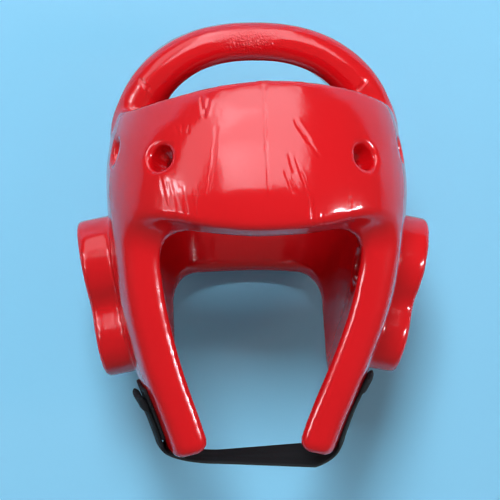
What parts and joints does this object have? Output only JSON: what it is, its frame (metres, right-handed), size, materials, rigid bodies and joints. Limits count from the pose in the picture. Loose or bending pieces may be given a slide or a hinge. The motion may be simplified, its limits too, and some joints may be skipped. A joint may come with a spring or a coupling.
{
  "type": "kickboxing headgear",
  "caption": "Dipped-foam head guard for kickboxing with an open face, vented forehead, crown bar, raised ear pads and an elastic chin strap, lying on its back.",
  "frame": {"origin": "on the flat back of the shell, on the centre line, at the level of the brow edge", "axes": "+X across the head to the right of the picture, +Y up the head from chin to crown, +Z from the back of the head to the face"},
  "size_m": [0.2407, 0.289, 0.2352],
  "materials": {
    "dipped_vinyl_red": "glossy dipped vinyl skin over foam",
    "woven_elastic_black": "matt woven elastic",
    "hook_tape_black": "matt hook tape"
  },
  "bodies": {
    "root": {"shell": "dipped_vinyl_red", "crown_bar": "dipped_vinyl_red", "ear_pad_left": "dipped_vinyl_red", "ear_pad_right": "dipped_vinyl_red", "chin_strap": "woven_elastic_black", "hook_patch": "hook_tape_black"}
  },
  "joints": []
}
